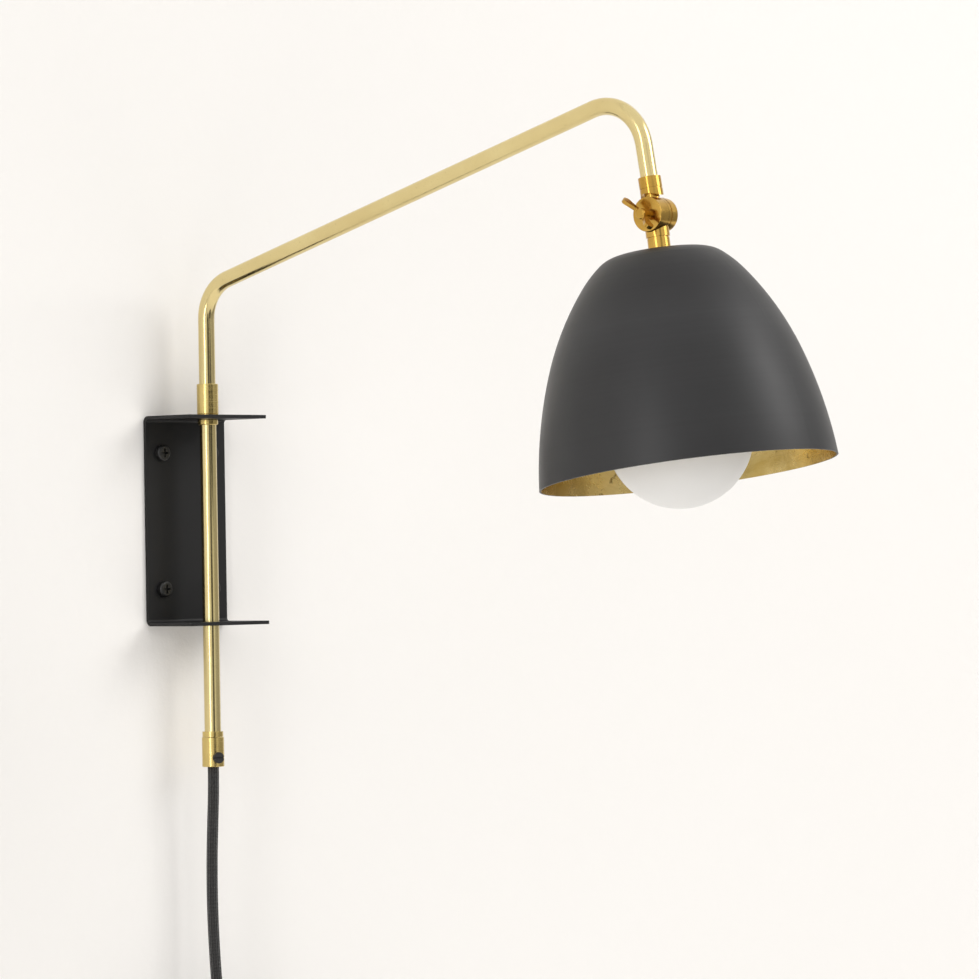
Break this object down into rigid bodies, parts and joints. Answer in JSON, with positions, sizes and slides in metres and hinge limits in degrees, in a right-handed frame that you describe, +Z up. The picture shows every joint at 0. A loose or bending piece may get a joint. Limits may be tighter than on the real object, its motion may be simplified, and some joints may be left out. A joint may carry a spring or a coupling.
{
  "type": "swing arm wall sconce",
  "caption": "Plug-in wall sconce: channel bracket, bent brass arm that swings on an upright tube, tilting swivel and bell shade over a globe lamp.",
  "frame": {"origin": "middle of the bracket's back face, on the wall", "axes": "+Z up, +Y into the wall, +X to the right seen from the room; the arm stands out towards -Y"},
  "size_m": [0.162, 0.4727, 0.7372],
  "materials": {
    "black_coat": "satin powder coat",
    "black_screw": "black oxide",
    "black_nylon": "moulded nylon",
    "tube_brass": "satin",
    "fitting_brass": "turned",
    "swivel_brass": "polished, deeper gold",
    "inner_brass": "turned",
    "shade_brass": "blackened outside, raw and streaked inside",
    "black_metal": "satin",
    "phenolic": "moulded",
    "opal_glass": "matt opal",
    "lamp_base": "plated",
    "cord_textile": "braided",
    "tie_fabric": "woven strap",
    "plug_plastic": "moulded",
    "wire_insulation": "smooth"
  },
  "bodies": {
    "bracket": {"wall_bracket": "black_coat", "mounting_screws": "black_screw", "upper_bush": "black_nylon", "lower_bush": "black_nylon"},
    "arm": {"thrust_washer": "fitting_brass", "arm_coupling": "fitting_brass", "retaining_collar": "fitting_brass", "arm_tube": "tube_brass", "lower_tube": "tube_brass", "arm_wires": "wire_insulation", "grip_ring": "fitting_brass", "cord_grip": "fitting_brass", "grip_screw": "black_nylon", "swivel_sleeve": "swivel_brass", "swivel_front": "swivel_brass", "cord": "cord_textile", "cord_hank": "cord_textile", "cord_tie": "tie_fabric", "cord_tail": "cord_textile", "plug_relief": "plug_plastic", "plug_body": "plug_plastic", "plug_blades": "inner_brass"},
    "head": {"swivel_rear": "swivel_brass", "swivel_cap": "swivel_brass", "neck_coupling": "swivel_brass", "nipple": "inner_brass", "shade": "shade_brass", "shade_washer": "inner_brass", "lock_nuts": "inner_brass", "socket_cup": "black_metal", "socket_insert": "phenolic", "screw_shell": "inner_brass", "centre_contact": "inner_brass", "bulb_globe": "opal_glass", "bulb_base": "lamp_base", "bulb_contact": "inner_brass"},
    "wing": {"wing_screw": "swivel_brass"}
  },
  "joints": [
    {"name": "arm_swing", "type": "hinge", "parent": "bracket", "child": "arm", "pos_m": [0, -0.0217, 0], "axis": [0, 0, 1], "range_deg": [-81.65, 68.35]},
    {"name": "shade_tilt", "type": "hinge", "parent": "arm", "child": "head", "pos_m": [0.03749, -0.34322, 0.15967], "axis": [-0.9933, -0.1158, 0], "range_deg": [-40, 65]},
    {"name": "wing_turn", "type": "hinge", "parent": "head", "child": "wing", "pos_m": [0.03749, -0.34322, 0.15967], "axis": [-0.9933, -0.1158, 0], "range_deg": [-90, 90]}
  ]
}
